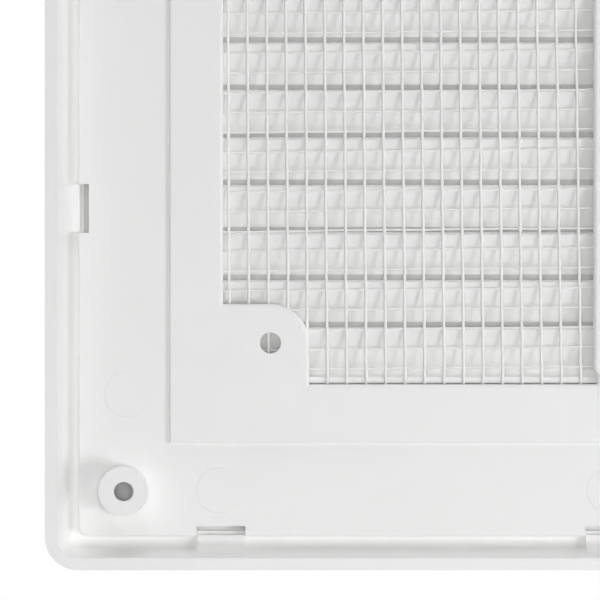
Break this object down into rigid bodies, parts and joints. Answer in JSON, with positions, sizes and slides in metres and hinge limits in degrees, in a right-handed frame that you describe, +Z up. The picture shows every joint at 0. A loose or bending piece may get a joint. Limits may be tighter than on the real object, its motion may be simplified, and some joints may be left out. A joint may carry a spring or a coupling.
{
  "type": "louvre vent",
  "caption": "Square plastic wall vent: clip-on louvred front cover over a screw-on rear frame, with an insect net held between the two.",
  "frame": {"origin": "centre of the wall plane, in the middle of the four wall screws", "axes": "+Y into the wall, so the louvred front looks along -Y; +Z up, +X across the vent"},
  "size_m": [0.25, 0.0125, 0.25],
  "materials": {
    "cover_plastic": "white satin moulded plastic, fine grain",
    "frame_plastic": "white satin moulded plastic, faint ejector marks",
    "net_plastic": "white plastic-coated net, slightly glossy"
  },
  "bodies": {
    "root": {"front_cover": "cover_plastic", "rear_frame": "frame_plastic", "insect_net": "net_plastic"}
  },
  "joints": []
}
